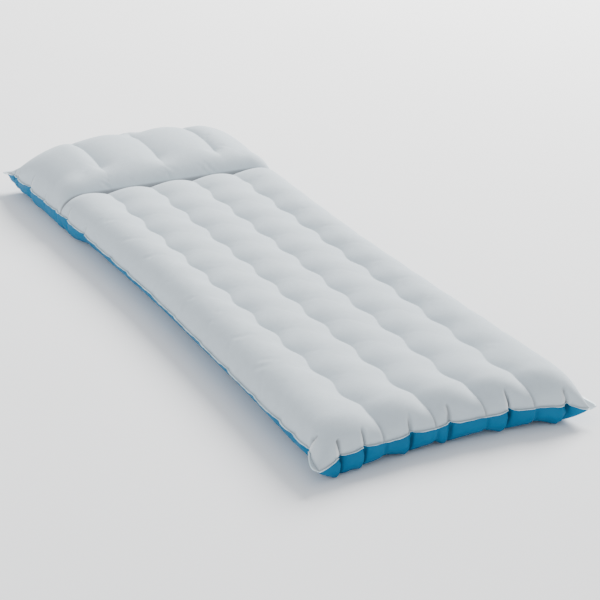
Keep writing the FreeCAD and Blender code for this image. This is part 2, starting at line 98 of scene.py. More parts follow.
FLANGE_WIDTH, FLANGE_GAUGE, PALE_WIDTH = 0.0050, 0.0008, 0.0032
FOOT_CORNER_WIDTH, HEAD_CORNER_WIDTH, CORNER_REACH = 0.0160, 0.008, 0.032  # side flanges at their ends
FOOT_EAR_TILT, HEAD_EAR_TILT = -28, 12  # of the side flanges at their ends, in degrees
RUFFLES = ((0.0008, 0.083, 0), (0.0005, 0.031, 1))  # height, length and start of the flange's waves

SIM_CELL, FINE_CELL = 0.0095, 0.0050
SIM_FRAMES, SIM_PRESSURE = 24, 12.0
SIM_FULLNESS = 0.0015  # how much wider and longer than its place each sheet is cut
FLOOR_SOFTNESS = 0.0012  # how gently the bottom sheet turns flat on the floor
SHARP_PULL = 0.007  # pleats drawn in at least this far are sharp folds
EARLY_PULL, LATE_PULL = 0.25, 0.5  # shares of the pleats' pull before inflation and after it
EARLY_BLUNTNESS = 0.010  # how much blunter each pleat is before inflation

WEB_GAP, WEB_GAUGE = 0.0025, 0.0008
PATCH_DEPTH = 0.0018  # from the sheet's outer face to the middle of the valve's patch
SHEET_UNDER_VALVE, SHEET_HOLE = 0.0004, 0.0285
FLAT_AT_VALVE, EASED_AT_VALVE = 0.038, 0.070  # radii within which the sheet is flat, and beyond which free
NECK_RADIUS = 0.025
TETHER_RING_WIDTH, TETHER_RING_GAUGE, TETHER_RING_OUT = 0.0025, 0.0012, 0.00225
STRAP_WIDTH, STRAP_GAUGE = 0.008, 0.0011

# Pleats gathered into the weld: place along the edge, how far the seam is drawn in, how far up the fold runs.
LEFT_PLEATS = (
    (0.868, 0.010, 0.030), (0.842, 0.008, 0.026), (0.753, 0.014, 0.042), (0.655, 0.007, 0.022),
    (0.574, 0.006, 0.024), (0.501, 0.011, 0.036), (0.389, 0.008, 0.026), (0.318, 0.004, 0.016),
    (0.219, 0.004, 0.016), (0.121, 0.003, 0.014), (-0.020, 0.003, 0.014), (-0.160, 0.003, 0.014),
    (-0.310, 0.003, 0.014), (-0.460, 0.004, 0.016), (-0.600, 0.004, 0.018), (-0.723, 0.006, 0.022),
    (-0.788, 0.005, 0.020), (-0.853, 0.019, 0.044))
RIGHT_PLEATS = (
    (0.862, 0.008, 0.028), (0.800, 0.006, 0.024), (0.722, 0.010, 0.034), (0.612, 0.007, 0.024),
    (0.566, 0.014, 0.032), (0.470, 0.006, 0.024), (0.352, 0.005, 0.020), (0.240, 0.004, 0.016),
    (0.095, 0.004, 0.016), (-0.050, 0.003, 0.014), (-0.205, 0.004, 0.016), (-0.365, 0.003, 0.014),
    (-0.520, 0.005, 0.018), (-0.655, 0.006, 0.022), (-0.752, 0.008, 0.026), (-0.835, 0.012, 0.034))
FOOT_PLEATS = (
    (-0.269, 0.021, 0.034), (-0.209, 0.014, 0.038), (-0.095, 0.013, 0.040), (-0.001, 0.013, 0.040),
    (0.141, 0.015, 0.046), (0.273, 0.021, 0.040))
HEAD_PLEATS = (
    (-0.272, 0.010, 0.036), (-0.196, 0.007, 0.030), (-0.104, 0.009, 0.034), (0.118, 0.009, 0.034),
    (0.205, 0.007, 0.030), (0.281, 0.010, 0.036))
FOOT_CREASE = (0.0075, 0.050)  # depth and reach of the fold in which a lengthwise weld ends at the foot
PLEAT_RISE = 0.45  # how far a pleat draws the seam up, against how far in
GROOVE_WIDTH = 0.0024  # of a pleat in the top sheet, between its thin lip and its broad ridge
LIP_PLACE, LIP_WIDTH, LIP_SHARE = -0.0048, 0.0021, 0.5
RIDGE_PLACE, RIDGE_WIDTH, RIDGE_SHARE = 0.0085, 0.0044, 0.4
STEP_WIDTH, STEP_FADE = 0.0022, 0.014  # of a pleat in the bottom sheet
# where the painted shade sits beside a step in the bottom sheet, and how wide it is
STEP_MARK_PLACE, STEP_MARK_WIDTH = 0.0070, 0.0036
TOP_FOLD, LOW_FOLD = 0.75, 0.60  # depth of the folds, against the pleats' pull
TOP_LEAN, LOW_LEAN = -0.12, -0.26  # how far the folds run sideways for each metre inward
LOW_FOLD_LENGTH = 2.2  # of a fold in the bottom sheet, against the top one's
FULL_GROOVE_MARK, FULL_LIP_MARK, FULL_STEP_MARK = 0.006, 0.009, 0.008  # pulls at which a fold's painted groove shade, lip highlight and step shade are full


def smooth(low, high, value):
    """0 below low, 1 above high, and an easy turn between."""
    share = np.clip((value - low) / (high - low), 0, 1)
    return share * share * (3 - 2 * share)


def quarter(distance, reach):
    """Height of a quarter round of height 1, at a distance in from its foot."""
    share = 1 - np.clip(distance / reach, 0, 1)
    return np.sqrt(1 - share * share)


def crown(share):
    """A round arch of height 1 over share -1 to 1, as a channel stands between two welds."""
    flatness = 2.2
    share = np.clip(share, -1, 1)
    edge = math.sqrt(flatness**2 - 1)
    return (np.sqrt(flatness**2 - share * share) - edge) / (flatness - edge)


def bell(offset, centre, width):
    """1 at the centre, dying away to both sides."""
    return np.exp(-((offset - centre) / width)**2)


# ---------- camera, light and floor ----------

def photo_camera():
    """Camera at the photograph's viewing angle."""
    azimuth, elevation, roll = (math.radians(angle) for angle in CAMERA_TURN)
    back = Vector((math.sin(azimuth) * math.cos(elevation), -math.cos(azimuth) * math.cos(elevation),
                   math.sin(elevation)))
    right = (-back).cross(Vector((0, 0, 1))).normalized()
    up = right.cross(-back)
    turned_right = math.cos(roll) * right + math.sin(roll) * up
    turned_up = math.cos(roll) * up - math.sin(roll) * right
    camera = bpy.data.objects.new("photo_camera", bpy.data.cameras.new("photo_camera"))
    bpy.context.scene.collection.objects.link(camera)
    turn = Matrix((turned_right, turned_up, back)).transposed()
    camera.matrix_world = Matrix.Translation(CAMERA_PLACE) @ turn.to_4x4()
    camera.data.sensor_width = 36
    camera.data.lens = CAMERA_LENS
    camera.data.clip_end = 60
    bpy.context.scene.camera = camera


def area_light(name, place, target, size, power, colour):
    light = bpy.data.lights.new(name, "AREA")
    light.shape = "DISK"
    light.size = size
    light.energy = power
    light.color = colour
    lamp = bpy.data.objects.new(name, light)
    bpy.context.scene.collection.objects.link(lamp)
    lamp.location = place
    lamp.rotation_euler = (Vector(target) - Vector(place)).to_track_quat("-Z", "Y").to_euler()


def studio():
    """Pale floor, a white surround, a broad far key light from the right and above, and a weak fill."""
    world = bpy.data.worlds.new("studio_surround")
    bpy.context.scene.world = world
    world.use_nodes = True
    surround = world.node_tree.nodes["Background"]
    surround.inputs["Color"].default_value = (0.93, 0.96, 1.0, 1)
    surround.inputs["Strength"].default_value = 0.95
    area_light("key_light", (5.2, 3.6, 4.6), (0, 0, 0.05), 4.0, 1560, (1.0, 0.985, 0.96))
    area_light("side_fill", (-3.4, 0.4, 1.2), (0, 0, 0.05), 2.0, 30, (0.96, 0.98, 1.0))
    bpy.ops.mesh.primitive_circle_add(vertices=96, radius=7, fill_type="NGON")
    floor = bpy.context.object
    floor.name = "studio_floor"
    floor.data.materials.append(floor_paint())


# ---------- materials ----------

def new_material(name):
    """A new material with its node tree and its shader."""
    material = bpy.data.materials.new(name)
    material.use_nodes = True
    tree = material.node_tree
    return material, tree, tree.nodes["Principled BSDF"]


def add_node(tree, kind, settings=(), values=(), links=()):
    """Adds a node with its settings, socket values and incoming links."""
    node = tree.nodes.new(kind)
    for name, value in settings:
        setattr(node, name, value)
    for name, value in values:
        node.inputs[name].default_value = value
    for name, source in links:
        tree.links.new(source, node.inputs[name])
    return node


def object_point(tree):
    return add_node(tree, "ShaderNodeTexCoord").outputs["Object"]


def noise(tree, point, scale, detail=2.0, roughness=0.5):
    values = (("Scale", scale), ("Detail", detail), ("Roughness", roughness))
    return add_node(tree, "ShaderNodeTexNoise", values=values, links=(("Vector", point),)).outputs["Fac"]


def remap(tree, source, low, high, out_low, out_high):
    values = (("From Min", low), ("From Max", high), ("To Min", out_low), ("To Max", out_high))
    return add_node(tree, "ShaderNodeMapRange", values=values, links=(("Value", source),)).outputs["Result"]


def feed(tree, socket, value):
    """Links an output to a socket, or sets the socket to a plain value."""
    if isinstance(value, bpy.types.NodeSocket):
        tree.links.new(value, socket)
    else:
        socket.default_value = value


def mix_colour(tree, share, first, second):
    """Mixes two colours, each a linked output or an RGBA tuple."""
    node = add_node(tree, "ShaderNodeMix", settings=(("data_type", "RGBA"),))
    tree.links.new(share, node.inputs["Factor"])
    feed(tree, node.inputs[6], first)
    feed(tree, node.inputs[7], second)
    return node.outputs[2]


def arithmetic(tree, operation, first, second):
    node = add_node(tree, "ShaderNodeMath", settings=(("operation", operation),))
    feed(tree, node.inputs[0], first)
    feed(tree, node.inputs[1], second)
    return node.outputs[0]


def bump(tree, height, strength, distance, under=None):
    links = [("Height", height)]
    if under is not None:
        links.append(("Normal", under))
    values = (("Strength", strength), ("Distance", distance))
    return add_node(tree, "ShaderNodeBump", values=values, links=links).outputs["Normal"]


def weave(tree, point, threads_per_metre):
    """Height of a plain weave: two sets of threads across each other."""
    parts = add_node(tree, "ShaderNodeSeparateXYZ", links=(("Vector", point),))
    heights = []
    for axis in ("X", "Y"):
        phase = arithmetic(tree, "MULTIPLY", parts.outputs[axis], threads_per_metre * 2 * math.pi)
        heights.append(arithmetic(tree, "SINE", phase, 0.0))
    return arithmetic(tree, "MULTIPLY", heights[0], heights[1])


def sheet_mark(tree, name):
    """The sheet's own marks: the lip mark is 1 on a fold's raised lip, where a pale highlight is painted, and
    "shade" is 1 in its pinched lines, where dark shade is painted.
    """
    return add_node(tree, "ShaderNodeAttribute", settings=(("attribute_name", name),)).outputs["Fac"]


def grey_fabric():
    """Fabric-faced vinyl: matte pale grey, finely woven, faintly mottled, with painted highlights on the
    folds' lips, which are smoother too, and painted shade in its pinched lines.
    """
    material, tree, shader = new_material("grey_fabric_face")
    point = object_point(tree)
    threads = weave(tree, point, 900.0)
    mottling = remap(tree, noise(tree, point, 60, 4, 0.6), 0.3, 0.7, 0.0, 1.0)
    clouds = remap(tree, noise(tree, point, 5, 2), 0.3, 0.7, 0.0, 1.0)
    base = mix_colour(tree, mottling, (0.538, 0.612, 0.653, 1), (0.576, 0.653, 0.695, 1))
    toned = mix_colour(tree, arithmetic(tree, "MULTIPLY", clouds, 0.35), base, (0.514, 0.581, 0.643, 1))
    speckled = mix_colour(tree, remap(tree, threads, -1.0, 1.0, 0.0, 0.12), toned, (0.384, 0.439, 0.481, 1))
    lip_highlight = sheet_mark(tree, "lip_highlight")
    # painted highlight: the folds' raised lips are mixed toward a pale grey, as if lit
    with_lip_highlight = mix_colour(tree, arithmetic(tree, "MULTIPLY", lip_highlight, 0.8), speckled, (0.86, 0.89, 0.90, 1))
    # painted shade: the folds' grooves, the crevice before the pillow and the line inside the rim go toward
    # near black
    shade = arithmetic(tree, "MULTIPLY", sheet_mark(tree, "shade"), 0.85)
    tree.links.new(mix_colour(tree, shade, with_lip_highlight, (0.17, 0.17, 0.18, 1)), shader.inputs["Base Color"])
    tree.links.new(remap(tree, lip_highlight, 0.0, 1.0, 0.82, 0.55), shader.inputs["Roughness"])
    shader.inputs["Sheen Weight"].default_value = 0.12
    shader.inputs["Sheen Roughness"].default_value = 0.6
    shader.inputs["Specular IOR Level"].default_value = 0.3
    weave_bump = bump(tree, threads, 0.25, 0.00012)
    grain = bump(tree, noise(tree, point, 260, 3), 0.2, 0.0004, weave_bump)
    tree.links.new(bump(tree, noise(tree, point, 28, 2), 0.12, 0.002, grain), shader.inputs["Normal"])
    return material


def blue_vinyl():
    """Calendered vinyl: satin teal blue with a fine leathery emboss, and painted shade on the recessed side
    of each fold.
    """
    material, tree, shader = new_material("blue_sheet")
    point = object_point(tree)
    clouds = remap(tree, noise(tree, point, 9, 3), 0.3, 0.7, 0.0, 1.0)
    base = mix_colour(tree, clouds, (0.0, 0.136, 0.285, 1), (0.0, 0.167, 0.338, 1))
    specks = remap(tree, noise(tree, point, 420, 2), 0.35, 0.65, 0.0, 0.25)
    grained = mix_colour(tree, specks, base, (0.0, 0.115, 0.235, 1))
    # painted shade: the recessed side of each fold's step is mixed toward a near black blue
    shade = arithmetic(tree, "MULTIPLY", sheet_mark(tree, "shade"), 0.75)
    tree.links.new(mix_colour(tree, shade, grained, (0.0, 0.033, 0.075, 1)), shader.inputs["Base Color"])
    tree.links.new(remap(tree, noise(tree, point, 35, 3), 0.3, 0.7, 0.42, 0.56), shader.inputs["Roughness"])
    shader.inputs["Specular IOR Level"].default_value = 0.12
    cells = add_node(tree, "ShaderNodeTexVoronoi", values=(("Scale", 700.0),), links=(("Vector", point),))
    emboss = bump(tree, cells.outputs["Distance"], 0.15, 0.0003)
    tree.links.new(bump(tree, noise(tree, point, 40, 3), 0.15, 0.002, emboss), shader.inputs["Normal"])
    return material


def flange_vinyl():
    """The welded edge: pale, half clear vinyl with the weld bar's fine cross ribs."""
    material, tree, shader = new_material("edge_weld")
    point = object_point(tree)
    base = mix_colour(tree, remap(tree, noise(tree, point, 30, 3), 0.3, 0.7, 0.0, 1.0),
                      (0.68, 0.86, 0.92, 1), (0.78, 0.93, 0.97, 1))
    tree.links.new(base, shader.inputs["Base Color"])
    tree.links.new(remap(tree, noise(tree, point, 90, 2), 0.3, 0.7, 0.38, 0.52), shader.inputs["Roughness"])
    ribs = weave(tree, point, 420.0)
    tree.links.new(bump(tree, ribs, 0.3, 0.0002), shader.inputs["Normal"])
    return material


def web_vinyl():
    """The inner webs: plain milky vinyl."""
    material, tree, shader = new_material("web_sheet")
    point = object_point(tree)
    base = mix_colour(tree, noise(tree, point, 12, 3), (0.45, 0.50, 0.54, 1), (0.55, 0.60, 0.63, 1))
    tree.links.new(base, shader.inputs["Base Color"])
    shader.inputs["Roughness"].default_value = 0.5
    tree.links.new(bump(tree, noise(tree, point, 300, 2), 0.2, 0.0003), shader.inputs["Normal"])
    return material


def moulded_vinyl(name, dark, light, roughness):
    """Soft moulded valve plastic: finely grained, slightly mottled, with rubbed, paler edges."""
    material, tree, shader = new_material(name)
    point = object_point(tree)
    mottled = mix_colour(tree, remap(tree, noise(tree, point, 90, 3), 0.3, 0.7, 0.0, 1.0), dark, light)
    edges = add_node(tree, "ShaderNodeNewGeometry").outputs["Pointiness"]
    rubbed = remap(tree, edges, 0.52, 0.62, 0.0, 0.5)
    pale = tuple(min(1.0, channel * 1.35 + 0.03) for channel in light[:3]) + (1,)
    tree.links.new(mix_colour(tree, rubbed, mottled, pale), shader.inputs["Base Color"])
    tree.links.new(remap(tree, noise(tree, point, 400, 2), 0.3, 0.7, roughness - 0.06, roughness + 0.08),
                   shader.inputs["Roughness"])
    tree.links.new(bump(tree, noise(tree, point, 1500, 2), 0.25, 0.00008), shader.inputs["Normal"])
    return material


def floor_paint():
    material, tree, shader = new_material("studio_floor_paint")
    tone = noise(tree, object_point(tree), 2, 3)
    tree.links.new(mix_colour(tree, tone, (0.92, 0.925, 0.93, 1), (0.95, 0.955, 0.96, 1)),
                   shader.inputs["Base Color"])
    shader.inputs["Roughness"].default_value = 0.9
    return material


# ---------- the flat plan of the sheets ----------

def spaced(knots, cell):
    """Places from the first knot to the last, every knot among them, about a cell apart."""
    places = [knots[0]]
    for low, high in zip(knots, knots[1:]):
        count = max(1, round(abs(high - low) / cell))
        places += list(np.linspace(low, high, count + 1)[1:])
    return np.array(places)


def edge_round(radius, cell):
    """Distances in from a seam, evenly spaced along a quarter round that rises from it."""
    count = round(radius * math.pi / 2 / cell)
    return radius * (1 - np.cos(np.linspace(0, math.pi / 2, count + 1)))


def column_places(cell):
    """Where the lengthwise grid lines stand at mid-length, from the left seam to the right one."""
    rim = HALF_WAIST - edge_round(HALF_WAIST - CREST_X, cell)
    inner = spaced((CREST_X, VALLEYS[3], CREASE_X, VALLEYS[2], 0.0), cell)
    right = np.concatenate([rim[:-1], inner])
    return np.concatenate([-right[:-1], right[::-1]])


def pillow_profile(cell):
    """Places and heights along the pillow's middle: two Bezier curves over its crest, then the head slope."""
    crest = np.array((PILLOW_CREST_Y, PILLOW_CREST_Z))
    start, end = np.array((WELD_Y, WELD_Z)), np.array((HALF_LENGTH, SEAM_Z))
    slope = slope_fall()
    shoulder = end - slope * 0.075
    curve = []
    for first, first_pull, last_pull, last in (
            (start, (0.022, 0.060), (-0.095, 0.0), crest),
            (crest, (0.075, 0.0), tuple(-slope * 0.036), shoulder)):
        for share in np.linspace(0, 1, 60):
            spans = (first, first + first_pull, last + last_pull, last)
            weights = ((1 - share)**3, 3 * share * (1 - share)**2, 3 * share**2 * (1 - share), share**3)
            curve.append(sum(weight * point for weight, point in zip(weights, spans)))
    curve.append(end)
    curve = np.array(curve)
    steps = np.concatenate([[0], np.cumsum(np.linalg.norm(np.diff(curve, axis=0), axis=1))])
    even = np.linspace(0, steps[-1], round(steps[-1] / cell) + 1)
    return np.interp(even, steps, curve[:, 0]), np.interp(even, steps, curve[:, 1])


def slope_fall():
    """Unit direction down the head slope, square to the valve's axis."""
    axis = next(joint for joint in frame["joints"] if joint["name"] == "plug_pull")["axis"]
    return np.array((axis[2], -axis[1]))


def seam_half_width(y):
    return HALF_WAIST + (HALF_CORNER - HALF_WAIST) * np.abs(y / HALF_LENGTH)**1.3


def refined(places, centres, reach, parts):
    """The places again, with each step near one of the centres cut into equal parts."""
    finer = [places[:1]]
    for low, high in zip(places, places[1:]):
        near = any(abs((low + high) / 2 - centre) < reach for centre in centres)
        finer.append(np.linspace(low, high, (parts if near else 1) + 1)[1:])
    return np.concatenate(finer)


class Plan:
    """The sheets' shared grid: rows run across, foot to head, and columns run lengthwise."""

    def __init__(self, cell, fine=False):
        self.columns = column_places(cell)
        foot = edge_round(TOP_ROUND, cell) - (HALF_LENGTH - FOOT_HOLLOW)
        body = spaced((foot[-1], WELD_Y - CHANNEL_DOME), cell)[1:]
        dome_steps = np.linspace(0, math.pi / 2, round(CHANNEL_DOME * 1.5 / cell) + 1)[1:]
        dome = WELD_Y - CHANNEL_DOME * (1 - np.sin(dome_steps))
        pillow_y, pillow_z = pillow_profile(cell / 4)
        shares = np.linspace(0, 1, len(pillow_y))
        pillow = np.interp(np.linspace(0, 1, len(pillow_y) // 4 + 1), shares, pillow_y)
        self.rows = np.concatenate([foot, body, dome, pillow[1:]])
        if fine:
            end_pleats = [pleat[0] for pleat in FOOT_PLEATS + HEAD_PLEATS]
            side_pleats = [pleat[0] for pleat in LEFT_PLEATS + RIGHT_PLEATS if pleat[1] >= SHARP_PULL]
            self.columns = refined(self.columns, end_pleats + list(VALLEYS + CREASES), 0.011, 3)
            self.rows = refined(self.rows, side_pleats + [WELD_Y], 0.010, 3)
        self.weld_row = int(np.argmin(np.abs(self.rows - WELD_Y)))
        self.pillow_z = np.interp(self.rows, pillow_y, pillow_z)
        self.x, self.y = self.places()
        self.valley_columns = [int(np.argmin(np.abs(self.columns - x))) for x in VALLEYS]
        self.crease_columns = [int(np.argmin(np.abs(self.columns - x))) for x in CREASES]

    def places(self):
        """Plan places of the grid: waisted sides, hollow foot and wavy lengthwise welds."""
        side, outer = np.sign(self.columns), np.abs(self.columns)
        row_y = self.rows[:, None]
        stretch = (seam_half_width(row_y) - VALLEYS[3]) / (HALF_WAIST - VALLEYS[3])
        x = np.where(outer > VALLEYS[3], side * (VALLEYS[3] + (outer - VALLEYS[3]) * stretch),
                     self.columns[None, :] + 0 * row_y)
        y = row_y - FOOT_HOLLOW * (x / HALF_CORNER)**2 * (1 - smooth(-0.87, -0.62, row_y))
        wave = WAVE_SWING * np.cos(2 * math.pi * (y - WAVE_CORNER) / WAVE_PITCH)
        window = smooth(*WAVE_STARTS, y) * (1 - smooth(*WAVE_ENDS, y))
        sway = FOOT_SWAY * (1 - (x / SWAY_HALF_WIDTH)**2) * (1 - smooth(-0.91, -0.76, row_y))
        return x + (sway - wave * window) * (1 - smooth(VALLEYS[3], HALF_WAIST, outer)), y


def top_height(plan):
    """Heights of the top sheets before inflation: channels, domed ends, pillow and rounds to the seam."""
    outer = np.abs(plan.columns)
    inner_share = (np.mod(plan.columns + PITCH / 2, PITCH) - PITCH / 2) / (PITCH / 2)
    outer_share = np.where(outer < CREST_X, (outer - CREST_X) / (CREST_X - VALLEYS[3]), 0)
    arch = np.where(outer <= VALLEYS[3], crown(inner_share), crown(outer_share))
    body = VALLEY_Z + (CREST_Z - VALLEY_Z) * arch[None, :]
    dome = quarter(WELD_Y - plan.rows, CHANNEL_DOME)[:, None]
    body = WELD_Z + (body - WELD_Z) * dome
    foot_round = TOP_ROUND * (1 + VALLEY_ROUND * (1 - arch))[None, :]
    foot = quarter((plan.rows + HALF_LENGTH - FOOT_HOLLOW)[:, None], foot_round)
    side = quarter(HALF_WAIST - outer, HALF_WAIST - CREST_X)[None, :]
    body = SEAM_Z + (body - SEAM_Z) * foot * side

    crease_share = (np.mod(plan.columns, CREASE_X) - CREASE_X / 2) / (CREASE_X / 2)
    outer_crease = np.clip((outer - CREASE_X) / 0.045 - 1, -1, 0)
    crease = 1 - np.where(outer <= CREASE_X, crown(crease_share), crown(outer_crease))
    depth = CREASE_DEPTH * smooth(*CREASE_STARTS, plan.rows) * (1 - smooth(*CREASE_ENDS, plan.rows))
    pillow = plan.pillow_z[:, None] - depth[:, None] * crease[None, :]
    open_side = smooth(WELD_Y, 0.64, plan.rows)[:, None]
    pillow_side = side * (1 - open_side) + quarter(HALF_WAIST - outer, PILLOW_ROUND)[None, :] * open_side
    pillow = SEAM_Z + (pillow - SEAM_Z) * pillow_side
    return np.where(plan.rows[:, None] <= WELD_Y, body, pillow)


def full_quarter(distance, reach, fullness):
    """Height of an edge round, the steeper the greater its fullness; 2 is a true quarter round."""
    share = 1 - np.clip(distance / reach, 0, 1)
    return (1 - share**fullness)**(1 / fullness)


def foot_lift(places):
    """How high the foot's bottom sheet stands off the floor: down at the pleats, up at the welds."""
    knots = sorted([(x, 0.0) for x, *_ in FOOT_PLEATS] + [(x + FOOT_SWAY, FOOT_LIFT) for x in VALLEYS])
    knots = np.array([(-HALF_CORNER, FOOT_LIFT / 2), *knots, (HALF_CORNER, FOOT_LIFT / 2)])
    return np.interp(places, knots[:, 0], knots[:, 1])


def bottom_height(plan):
    """Heights of the bottom sheet before inflation: flat on the floor, shallow channels and tucked edges."""
    def groove(distance):
        return FLOOR_GROOVE * np.clip(1 - distance / GROOVE_REACH, 0, 1)**1.5

    outer = np.abs(plan.columns)
    nearest = np.min(np.abs(plan.columns[:, None] - np.array(VALLEYS)[None, :]), axis=1)
    body_share = 1 - smooth(WELD_Y - 0.01, WELD_Y + 0.03, plan.rows)
    low = groove(nearest)[None, :] * body_share[:, None]
    low = np.maximum(low, groove(np.abs(plan.rows - WELD_Y))[:, None])
    low = np.maximum(low, foot_lift(plan.x) * (1 - smooth(-0.86, -0.74, plan.rows))[:, None])
    foot = full_quarter(plan.rows + HALF_LENGTH - FOOT_HOLLOW, LOW_ROUND, FOOT_FULLNESS)[:, None]
    head = full_quarter(HALF_LENGTH - plan.rows, LOW_ROUND, HEAD_FULLNESS)[:, None]
    fullness = SIDE_FULLNESS + SIDE_FULLER_AT_HEAD * smooth(0.40, 0.54, plan.rows)
    fullness += SIDE_FULLER_AT_FOOT * (1 - smooth(-0.85, -0.45, plan.rows))
    side = full_quarter((HALF_WAIST - outer)[None, :], LOW_ROUND, fullness[:, None])
    return SEAM_Z - (SEAM_Z - low) * foot * head * side


# ---------- gathering the edges ----------

def edge_frames(plan, sheet):
    """For each edge: its pleats, each grid point's place along it and path length from it, the way inward,
    and how quickly a pleat's pull dies away before and after it."""
    steps_across = np.linalg.norm(np.diff(sheet, axis=1), axis=2)
    steps_along = np.linalg.norm(np.diff(sheet, axis=0), axis=2)
    from_left = np.pad(np.cumsum(steps_across, axis=1), ((0, 0), (1, 0)))
    from_foot = np.pad(np.cumsum(steps_along, axis=0), ((1, 0), (0, 0)))
    from_right = from_left[:, -1:] - from_left
    from_head = from_foot[-1:, :] - from_foot
    return ((LEFT_PLEATS, plan.y, from_left, (1, 0), (0.007, 0.028)),
            (RIGHT_PLEATS, plan.y, from_right, (-1, 0), (0.007, 0.028)),
            (FOOT_PLEATS, plan.x, from_foot, (0, 1), (0.005, 0.010)),
            (HEAD_PLEATS, plan.x, from_head, (0, -1), (0.008, 0.012)))


def gather(plan, sheet, share_of_pull, blunt):
    """Draws the seam in and up at each pleat, in scallops, and eases the sheet in with it."""
    moved = sheet.copy()
    for pleats, place, distance, inward, (before, after) in edge_frames(plan, sheet):
        for centre, pull, reach in pleats:
            offset = place - centre
            cusp = np.exp(-np.abs(offset) / (np.where(offset < 0, before, after) + blunt))
            share = cusp * (1 - smooth(0, 1.6 * reach, distance)) * pull * share_of_pull
            moved += share[:, :, None] * np.array((*inward, PLEAT_RISE))
    return moved


def hang_corners(plan, sheet):
    """Lets the foot's seam sag and the corners hang down, and draws the head's corners out."""
    hung = sheet.copy()
    on_seam = np.clip(sheet[:, :, 2] / SEAM_Z, 0, 1)
    hung[:, :, 2] -= FOOT_SAG * (1 - smooth(-0.90, -0.80, plan.rows))[:, None] * on_seam
    for end, drop, ear in ((-1, FOOT_DROP, 0.0), (1, HEAD_DROP, HEAD_EAR)):
        away = np.hypot(HALF_CORNER - np.abs(plan.x), HALF_LENGTH - end * plan.y)
        hung[:, :, 2] -= drop * bell(away, 0, DROP_REACH) * on_seam
        drawn = ear * bell(away, 0, EAR_REACH) * on_seam
        hung[:, :, 0] += np.sign(plan.x) * drawn
        hung[:, :, 1] += end * drawn
    return hung


def sheet_normals(sheet):
    across = np.gradient(sheet, axis=1)
    along = np.gradient(sheet, axis=0)
    normal = np.cross(across, along)
    return normal / np.maximum(np.linalg.norm(normal, axis=2, keepdims=True), 1e-9)


def fold_runs(plan, sheet, lean, length):
    """For each sharp pleat: the offset across it, and how strongly it is folded, out to where it ends."""
    for pleats, place, distance, *_ in edge_frames(plan, sheet):
        at_foot = pleats is FOOT_PLEATS
        for centre, pull, reach in pleats:
            if pull >= SHARP_PULL:
                slant = lean * (0.3 + 1.3 * max(0.0, centre / HALF_CORNER)) if at_foot else lean
                yield place - centre - slant * distance, pull * fold_strength(distance, reach * length)
        if at_foot:
            depth, reach = FOOT_CREASE
            for valley in VALLEYS:
                yield plan.columns[None, :] - valley, 0.5 * depth * fold_strength(distance, reach * length)


def fold_strength(distance, reach):
    """Weak on the rim, full just inside it, and fading out at its reach."""
    return np.clip(1 - distance / reach, 0, 1)**0.7 * (0.35 + 0.65 * smooth(0, 0.008, distance))


def fold_top(plan, sheet):
    """Presses the pleats into the top sheet: a thin raised lip, a narrow groove and a broad ridge. Also gives
    the marks of the painted shade in the groove and of the painted highlight on the lip."""
    depth, painted_groove_shade, painted_lip_highlight = np.zeros((3,) + plan.x.shape)
    for offset, strength in fold_runs(plan, sheet, TOP_LEAN, 1.0):
        groove = bell(offset, 0, GROOVE_WIDTH)
        lip = bell(offset, LIP_PLACE, LIP_WIDTH)
        ridge = bell(offset, RIDGE_PLACE, RIDGE_WIDTH)
        depth += (groove - LIP_SHARE * lip - RIDGE_SHARE * ridge) * strength * TOP_FOLD
        painted_groove_shade += groove * strength / FULL_GROOVE_MARK
        painted_lip_highlight += lip * strength / FULL_LIP_MARK
    folded = sheet - sheet_normals(sheet) * depth[:, :, None]
    return folded, np.clip(painted_groove_shade, 0, 1), np.clip(painted_lip_highlight, 0, 1)


def fold_bottom(plan, sheet):
    """Steps the wall of the bottom sheet at each pleat, forward on one side and back on the other. Also gives
    the mark of the painted shade on the step's recessed side."""
    step, mark = np.zeros((2,) + plan.x.shape)
    for offset, strength in fold_runs(plan, sheet, LOW_LEAN, LOW_FOLD_LENGTH):
        step -= np.tanh(offset / STEP_WIDTH) * np.exp(-np.abs(offset) / STEP_FADE) * strength * LOW_FOLD
        mark += bell(offset, STEP_MARK_PLACE, STEP_MARK_WIDTH) * strength / FULL_STEP_MARK
    return sheet - sheet_normals(sheet) * step[:, :, None], np.clip(mark, 0, 1)


# ---------- inflation ----------

def quads(numbers, upward=True):
    """Quads of a grid of vertex numbers, facing up or down."""
    corners = (numbers[:-1, :-1], numbers[:-1, 1:], numbers[1:, 1:], numbers[1:, :-1])
    faces = np.stack(corners, axis=-1).reshape(-1, 4)
    return faces if upward else faces[:, ::-1]


def ring_quads(rings, closed=True):
    """Quads between neighbouring rings of points, and from the last ring to the first when closed."""
    numbers = np.arange(len(rings) * len(rings[0])).reshape(len(rings), -1)
    return quads(np.pad(numbers, ((0, int(closed)), (0, 1)), mode="wrap"))


def held_points(plan):
    """Which grid points the welds hold, in the top sheet and in the bottom one."""
    held = np.zeros(plan.x.shape, bool)
    held[[0, -1], :] = True
    held[:, [0, -1]] = True
    inner = plan.rows > plan.rows[0] + 0.008
    body = (plan.rows <= WELD_Y) & inner
    for column in plan.valley_columns:
        held[body, column] = True
    held[plan.weld_row, :] = True
    creased = (plan.rows > CREASE_WELD[0]) & (plan.rows < CREASE_WELD[1])
    on_top = held.copy()
    for column in plan.crease_columns:
        on_top[creased, column] = True
    return on_top, held


